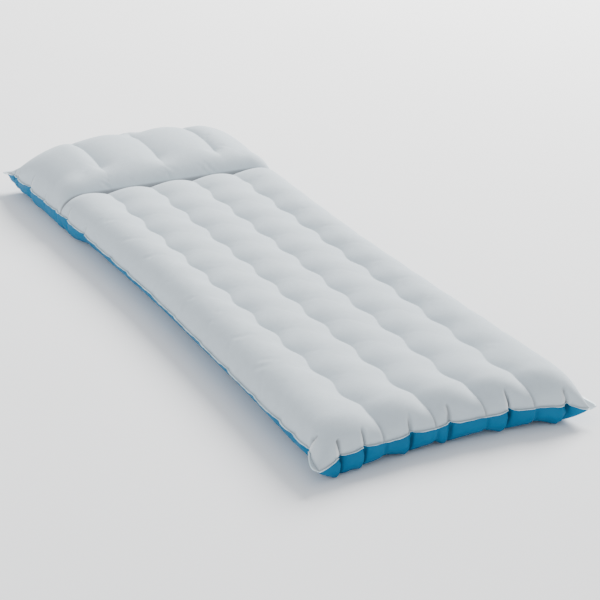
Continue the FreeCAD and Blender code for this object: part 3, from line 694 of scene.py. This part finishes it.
def inflate(plan, top, bottom, frames):
    """Inflates the two sheets with Blender's cloth: the welds are held, the sheet is cut slightly full."""
    count = plan.x.size
    top_numbers = np.arange(count).reshape(plan.x.shape)
    bottom_numbers = top_numbers.copy()
    inside = bottom_numbers[1:-1, 1:-1]
    inside[:] = np.arange(inside.size).reshape(inside.shape) + count
    start = np.concatenate([top.reshape(-1, 3), bottom[1:-1, 1:-1].reshape(-1, 3)])
    mesh = bpy.data.meshes.new("inflated")
    faces = np.concatenate([quads(top_numbers), quads(bottom_numbers, upward=False)])
    mesh.from_pydata(start.tolist(), [], faces.tolist())
    cloth_object = bpy.data.objects.new("inflated", mesh)
    bpy.context.scene.collection.objects.link(cloth_object)
    top_held, bottom_held = held_points(plan)
    group = cloth_object.vertex_groups.new(name="welds")
    held = np.concatenate([top_numbers[top_held], bottom_numbers[bottom_held]])
    group.add(np.unique(held).tolist(), 1.0, "REPLACE")
    cloth = cloth_object.modifiers.new("inflation", "CLOTH")
    settings = cloth.settings
    settings.vertex_group_mass = "welds"
    settings.quality = 4
    settings.mass = 0.2
    settings.tension_stiffness = 60
    settings.compression_stiffness = 30
    settings.shear_stiffness = 8
    settings.bending_stiffness = 1.0
    settings.tension_damping = 6
    settings.compression_damping = 6
    settings.shear_damping = 6
    settings.use_pressure = True
    settings.uniform_pressure_force = SIM_PRESSURE
    settings.shrink_min = -SIM_FULLNESS
    settings.effector_weights.gravity = 0
    cloth.collision_settings.use_collision = False
    cloth.point_cache.frame_end = frames
    for number in range(1, frames + 1):
        bpy.context.scene.frame_set(number)
    evaluated = cloth_object.evaluated_get(bpy.context.evaluated_depsgraph_get())
    shape = np.empty(len(start) * 3, np.float32)
    evaluated.data.vertices.foreach_get("co", shape)
    shape = shape.reshape(-1, 3).astype(float)
    bpy.context.scene.frame_set(1)
    bpy.data.objects.remove(cloth_object)
    bpy.data.meshes.remove(mesh)
    return shape[top_numbers], shape[bottom_numbers]


# ---------- from the simulated grid to the fine one ----------

def spline_matrix(knots, places):
    """Turns values at the knots into a natural cubic spline's values at the places."""
    count = len(knots)
    gap = np.diff(knots)
    left, right = np.eye(count), np.zeros((count, count))
    for k in range(1, count - 1):
        left[k, k - 1:k + 2] = gap[k - 1], 2 * (gap[k - 1] + gap[k]), gap[k]
        right[k, k - 1:k + 2] = 6 / gap[k - 1], -6 / gap[k - 1] - 6 / gap[k], 6 / gap[k]
    curving = np.linalg.solve(left, right)
    span = np.clip(np.searchsorted(knots, places) - 1, 0, count - 2)
    before = (knots[span + 1] - places) / gap[span]
    after = 1 - before
    matrix = np.zeros((len(places), count))
    line = np.arange(len(places))
    matrix[line, span] += before
    matrix[line, span + 1] += after
    matrix += ((before**3 - before) * gap[span]**2 / 6)[:, None] * curving[span]
    matrix += ((after**3 - after) * gap[span]**2 / 6)[:, None] * curving[span + 1]
    return matrix


def creased_matrix(knots, places, creases):
    """A spline matrix in pieces, with a free bend at each crease."""
    matrix = np.zeros((len(places), len(knots)))
    limits = [knots[0], *creases, knots[-1]]
    for low, high in zip(limits, limits[1:]):
        own = np.flatnonzero((knots > low - 1e-7) & (knots < high + 1e-7))
        new = np.flatnonzero((places > low - 1e-7) & (places < high + 1e-7))
        matrix[new] = 0
        matrix[np.ix_(new, own)] = spline_matrix(knots[own], places[new])
    return matrix


def path_places(coarse, fine, curve):
    """Both grids' places turned into path length along a curve, which spreads out their steep edges."""
    dense = np.linspace(coarse[0], coarse[-1], 20001)
    heights = curve(dense)
    steps = np.hypot(np.diff(dense), np.diff(heights))
    path = np.concatenate([[0], np.cumsum(steps)])
    return np.interp(coarse, dense, path), np.interp(fine, dense, path)


def side_curve(places):
    return (CREST_Z - SEAM_Z) * quarter(HALF_WAIST - np.abs(places), TOP_ROUND)


def lengthwise_curve(places):
    foot = quarter(places + HALF_LENGTH - FOOT_HOLLOW, TOP_ROUND) * (CREST_Z - SEAM_Z)
    dome = quarter(WELD_Y - places, CHANNEL_DOME) * (CREST_Z - WELD_Z)
    return foot + dome


def refine(coarse, fine, sheet, split_pillow):
    """The simulated sheet on the fine grid, smooth between the welds and creased on them."""
    old_rows, new_rows = path_places(coarse.rows, fine.rows, lengthwise_curve)
    old_columns, new_columns = path_places(coarse.columns, fine.columns, side_curve)
    along = creased_matrix(old_rows, new_rows, [old_rows[coarse.weld_row]])
    valley_creases = old_columns[coarse.valley_columns]
    pillow_creases = old_columns[coarse.crease_columns]
    rows = np.einsum("ij,jkc->ikc", along, sheet)
    body = np.einsum("ij,kjc->kic", creased_matrix(old_columns, new_columns, valley_creases), rows)
    if not split_pillow:
        return body
    pillow = np.einsum("ij,kjc->kic", creased_matrix(old_columns, new_columns, pillow_creases), rows)
    return np.concatenate([body[:fine.weld_row + 1], pillow[fine.weld_row + 1:]])


# ---------- the valve's seat on the head slope ----------

class ValveSeat:
    """The valve's own axes: out along the plug's travel, down the slope, and across."""

    def __init__(self):
        pull = next(joint for joint in frame["joints"] if joint["name"] == "plug_pull")
        self.out = np.array(pull["axis"])
        self.down = np.array((0, self.out[2], -self.out[1]))
        low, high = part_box("valve_patch")
        self.centre = np.array((0, (low.y + high.y) / 2, (low.z + high.z) / 2)) + self.out * PATCH_DEPTH

    def local(self, points):
        """Points as across, down the slope, and out of it."""
        offset = points - self.centre
        return np.stack([offset[..., 0], offset @ self.down, offset @ self.out], axis=-1)

    def world(self, across, down, out):
        return self.centre + np.array((across, 0, 0)) + self.down * down + self.out * out


def flatten_at_valve(sheet, seat):
    """Lays the sheet on the valve's plane under its flange, and eases back to the inflated shape."""
    across, down, out = np.moveaxis(seat.local(sheet), -1, 0)
    radius = np.hypot(across, down)
    near = (1 - smooth(FLAT_AT_VALVE, EASED_AT_VALVE, radius)) * (np.abs(out) < 0.05)
    return sheet - (near * (out + SHEET_UNDER_VALVE))[:, :, None] * seat.out


# ---------- meshes ----------

def new_piece(name, points, faces, material, body="root"):
    """A smooth-shaded mesh piece that rides on a body, or on none for now."""
    mesh = bpy.data.meshes.new(name)
    mesh.from_pydata(np.asarray(points).tolist(), [], [list(map(int, face)) for face in faces])
    mesh.materials.append(material)
    mesh.shade_smooth()
    piece = bpy.data.objects.new(name, mesh)
    bpy.context.scene.collection.objects.link(piece)
    if body is not None:
        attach(piece, body)
    return piece


def sheet_piece(name, sheet, marks, material, upward=True, hole=None):
    """One sheet as a mesh with its marks, leaving out the faces inside the hole test."""
    points = sheet.reshape(-1, 3)
    faces = quads(np.arange(len(points)).reshape(sheet.shape[:2]), upward)
    if hole is not None:
        faces = faces[~hole(points[faces].mean(axis=1))]
    piece = new_piece(name, points, faces, material)
    for mark, values in marks.items():
        attribute = piece.data.attributes.new(mark, "FLOAT", "POINT")
        attribute.data.foreach_set("value", values.reshape(-1).astype(np.float32))
    return piece


def thicken(piece, gauge, offset):
    """Gives an open sheet its gauge and applies it."""
    solid = piece.modifiers.new("gauge", "SOLIDIFY")
    solid.thickness = gauge
    solid.offset = offset
    bpy.context.view_layer.objects.active = piece
    with bpy.context.temp_override(object=piece, active_object=piece, selected_objects=[piece]):
        bpy.ops.object.modifier_apply(modifier=solid.name)


def shadow_marks(plan, distance_from_rim):
    """Painted shade: 1 in the crevice in front of the pillow and just inside the rim, where the sheet is
    pinched and shade falls.
    """
    past_weld = plan.rows - WELD_Y
    crevice = np.where(past_weld < 0, bell(past_weld, 0, 0.002), 1 - smooth(0.003, 0.0065, past_weld))
    rim = 0.5 * bell(distance_from_rim, 0, 0.0032)
    return np.maximum(0.85 * crevice[:, None], rim)


def rim_distance(plan, sheet):
    return np.min([distance for _, _, distance, *_ in edge_frames(plan, sheet)], axis=0)


def rim_loop(grid):
    """The rim's grid points in order: foot, right side, head, left side."""
    return np.concatenate([grid[0, :-1], grid[:-1, -1], grid[-1, :0:-1], grid[:0:-1, 0]])


def edge_flange(plan, sheet, materials):
    """The welded edge: a thin ruffled band, grey above with a pale rim and blue below, with ears at the ends
    of the sides."""
    seam = rim_loop(sheet)
    outward = np.zeros(plan.x.shape + (3,))
    outward[0, :, 1] = -1
    outward[-1, :, 1] = 1
    outward[:, 0, 0] = -1
    outward[:, -1, 0] = 1
    direction = rim_loop(outward)
    direction /= np.linalg.norm(direction, axis=1, keepdims=True)
    place = rim_loop(np.stack([plan.x, plan.y], axis=-1))
    to_corner = np.hypot(HALF_CORNER - np.abs(place[:, 0]), HALF_LENGTH - np.abs(place[:, 1]))
    corner = np.exp(-(to_corner / CORNER_REACH)**2)
    on_side = np.abs(direction[:, 0]) > 0
    at_foot = place[:, 1] < 0
    corner_width = np.where(at_foot, FOOT_CORNER_WIDTH, HEAD_CORNER_WIDTH)
    width = FLANGE_WIDTH + (corner_width - FLANGE_WIDTH) * corner * on_side
    tilt = np.radians(np.where(at_foot, FOOT_EAR_TILT, HEAD_EAR_TILT)) * corner * on_side
    path = np.concatenate([[0], np.cumsum(np.linalg.norm(np.diff(seam, axis=0), axis=1))])
    ruffle = sum(height * np.sin(path * 2 * math.pi / length + start) for height, length, start in RUFFLES)
    rings = []
    for reach in (-0.35 * width, 0 * width, (width - PALE_WIDTH) / 2, width - PALE_WIDTH, width):
        ring = seam + direction * (reach * np.cos(tilt))[:, None]
        beyond = np.maximum(0, reach)
        ring[:, 2] += (0.4 * reach + ruffle * beyond / width) * (1 - corner) - np.sin(tilt) * beyond
        rings.append(ring)
    outline = [ring + (0, 0, FLANGE_GAUGE / 2) for ring in rings]
    outline += [ring - (0, 0, FLANGE_GAUGE / 2) for ring in reversed(rings)]
    faces = ring_quads(outline)[:, [0, 3, 2, 1]]
    kinds = np.repeat([0] * (len(rings) - 2) + [1, 1] + [2] * len(rings), len(seam)).tolist()
    piece = new_piece("edge_flange", np.concatenate(outline), faces, materials["grey"])
    piece.data.materials.append(materials["edge"])
    piece.data.materials.append(materials["blue"])
    piece.data.polygons.foreach_set("material_index", kinds)
    return piece


def web_piece(name, top_line, bottom_line, material):
    """An inner web: a ribbon between two weld lines, just short of both sheets."""
    top_line = top_line - (0, 0, WEB_GAP)
    bottom_line = bottom_line + (0, 0, WEB_GAP)
    shares = np.linspace(0, 1, 5)[:, None, None]
    ribbon = top_line[None] * (1 - shares) + bottom_line[None] * shares
    faces = quads(np.arange(ribbon.size // 3).reshape(ribbon.shape[:2]))
    piece = new_piece(name, ribbon.reshape(-1, 3), faces, material)
    thicken(piece, WEB_GAUGE, 0)
    return piece


# ---------- the mattress ----------

def inflated_sheets():
    """The two sheets on the fine grid, after inflation, folding and settling on the floor."""
    coarse, fine = Plan(SIM_CELL), Plan(FINE_CELL, fine=True)

    def flat_shape(height):
        sheet = np.stack([coarse.x, coarse.y, height], axis=-1)
        return hang_corners(coarse, gather(coarse, sheet, EARLY_PULL, EARLY_BLUNTNESS))

    top, bottom = flat_shape(top_height(coarse)), flat_shape(bottom_height(coarse))
    top, bottom = inflate(coarse, top, bottom, SIM_FRAMES)
    top = refine(coarse, fine, top, split_pillow=True)
    bottom = refine(coarse, fine, bottom, split_pillow=False)
    top, painted_groove_shade, painted_lip_highlight = fold_top(fine, gather(fine, top, LATE_PULL, 0.0))
    bottom, painted_step_shade = fold_bottom(fine, gather(fine, bottom, LATE_PULL, 0.0))
    bottom[:, :, 2] = FLOOR_SOFTNESS * np.log1p(np.exp(np.clip(bottom[:, :, 2] / FLOOR_SOFTNESS, -40, 40)))
    for edge in ((0, slice(None)), (-1, slice(None)), (slice(None), 0), (slice(None), -1)):
        bottom[edge] = top[edge]
    # painted shade: the crevice, the line inside the rim and the folds' grooves; the lip mark is a painted
    # highlight
    shade = np.maximum(shadow_marks(fine, rim_distance(fine, top)), painted_groove_shade)
    return fine, top, bottom, {"lip_highlight": painted_lip_highlight, "shade": shade}, {"shade": painted_step_shade}


def build_mattress(materials):
    plan, top, bottom, top_marks, bottom_marks = inflated_sheets()
    seat = ValveSeat()
    top = flatten_at_valve(top, seat)

    def in_hole(points):
        across, down, out = np.moveaxis(seat.local(points), -1, 0)
        return (np.hypot(across, down) < SHEET_HOLE) & (np.abs(out) < 0.02)

    below = {mark: values[:plan.weld_row + 1] for mark, values in top_marks.items()}
    above = {mark: values[plan.weld_row:] for mark, values in top_marks.items()}
    body = sheet_piece("sleeping_surface", top[:plan.weld_row + 1], below, materials["grey"])
    pillow = sheet_piece("pillow_surface", top[plan.weld_row:], above, materials["grey"], hole=in_hole)
    under = sheet_piece("bottom_surface", bottom, bottom_marks, materials["blue"], upward=False)
    for piece, node, slot in ((body, "sleeping_top_sheet", "grey_fabric_face"),
                              (pillow, "pillow_top_sheet", "grey_fabric_face"),
                              (under, "bottom_sheet", "blue_sheet")):
        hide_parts(node)
    flange = edge_flange(plan, top, materials)
    build_webs(plan, top, bottom, materials["web"])
    build_tether(seat, materials["valve_grey"])


def build_webs(plan, top, bottom, material):
    """Inner webs, each in place of its CAD node, along the weld lines of the inflated sheets."""
    def web(name, rows, columns):
        piece = web_piece(f"{name}_web", top[rows, columns], bottom[rows, columns], material)
        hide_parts(name)

    lengthwise = slice(np.searchsorted(plan.rows, plan.rows[0] + 0.035), plan.weld_row - 1)
    for number, column in enumerate(plan.valley_columns, start=1):
        web(f"wave_beam_{number}", lengthwise, column)
    creased = slice(*np.searchsorted(plan.rows, (0.64, CREASE_WELD[1])))
    for number, column in enumerate(plan.crease_columns, start=1):
        web(f"pillow_beam_{number}", creased, column)
    inner = np.flatnonzero(np.abs(plan.columns) < HALF_WAIST - 0.03)
    web("transverse_beam", plan.weld_row, slice(inner[0], inner[-1] + 1))


def strap_path():
    """The retaining strap's line, down the slope and out of it: off the neck, round a loop, to the head."""
    knots = np.array(((-0.0262, 0.00225), (-0.0300, 0.00225), (-0.0332, 0.0027), (-0.0340, 0.0040),
                      (-0.0332, 0.0053), (-0.0300, 0.0056), (-0.0276, 0.0056)))
    steps = np.concatenate([[0], np.cumsum(np.linalg.norm(np.diff(knots, axis=0), axis=1))])
    return spline_matrix(steps, np.linspace(0, steps[-1], 40)) @ knots


def swept(name, rings, closed, material):
    """A mesh through a row of equal closed sections, joined end to end or capped."""
    points, count = np.concatenate(rings), len(rings[0])
    faces = list(ring_quads(rings, closed))
    if not closed:
        faces += [range(count)[::-1], range(len(points))[-count:]]
    return new_piece(name, points, faces, material, body=None)


def soft_section(width, height):
    """A rectangle with rounded corners, as pairs across and up."""
    corner = 0.35 * min(width, height)
    points = []
    for turn, (side, rise) in enumerate(((1, 1), (-1, 1), (-1, -1), (1, -1))):
        for step in range(4):
            angle = math.pi / 2 * (turn + step / 3)
            points.append((side * (width / 2 - corner) + corner * math.cos(angle),
                           rise * (height / 2 - corner) + corner * math.sin(angle)))
    return np.array(points)


def build_tether(seat, material):
    """The plug's retaining strap: a ring round the neck, and a strap that loops up to the plug's head."""
    ring_section = soft_section(TETHER_RING_WIDTH, TETHER_RING_GAUGE)
    rings = []
    for angle in np.linspace(0, 2 * math.pi, 72, endpoint=False):
        radii = NECK_RADIUS + TETHER_RING_WIDTH / 2 + ring_section[:, 0]
        rings.append(np.array([seat.world(radius * math.sin(angle), -radius * math.cos(angle),
                                          TETHER_RING_OUT + height)
                               for radius, height in zip(radii, ring_section[:, 1])]))
    ring = swept("tether_ring", rings, True, material)
    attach(ring, "root")
    path = strap_path()
    along = np.gradient(path, axis=0)
    along /= np.linalg.norm(along, axis=1, keepdims=True)
    strap_section = soft_section(STRAP_WIDTH, STRAP_GAUGE)
    rings = []
    for (down, out), (step_down, step_out) in zip(path, along):
        rings.append(np.array([seat.world(across, down - step_out * rise, out + step_down * rise)
                               for across, rise in strap_section]))
    strap = swept("plug_strap", rings, False, material)
    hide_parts("plug_tether")
    seat.world(0, -0.034, 0.0026)
    seat.world(0, -0.034, 0.0053)
    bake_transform(strap)


def finish_valve(materials):
    """Gives the valve's CAD nodes their moulded materials."""
    for name, material in (("valve_patch", "web"), ("valve_base", "valve_grey"),
                           ("plug_gasket", "rubber"), ("valve_plug", "valve_grey"),
                           ("check_flap", "rubber"), ("inlet_cap", "valve_blue")):
        mesh = frame["nodes"][name].data
        mesh.materials.clear()
        mesh.materials.append(materials[material])


photo_camera()
studio()
materials = {
    "grey": grey_fabric(),
    "blue": blue_vinyl(),
    "edge": flange_vinyl(),
    "web": web_vinyl(),
    "valve_grey": moulded_vinyl("valve_grey", (0.22, 0.24, 0.26, 1), (0.27, 0.29, 0.31, 1), 0.45),
    "rubber": moulded_vinyl("valve_rubber", (0.60, 0.62, 0.62, 1), (0.68, 0.70, 0.70, 1), 0.6),
    "valve_blue": moulded_vinyl("valve_blue", (0.0, 0.09, 0.20, 1), (0.0, 0.12, 0.25, 1), 0.4),
}
build_mattress(materials)
finish_valve(materials)
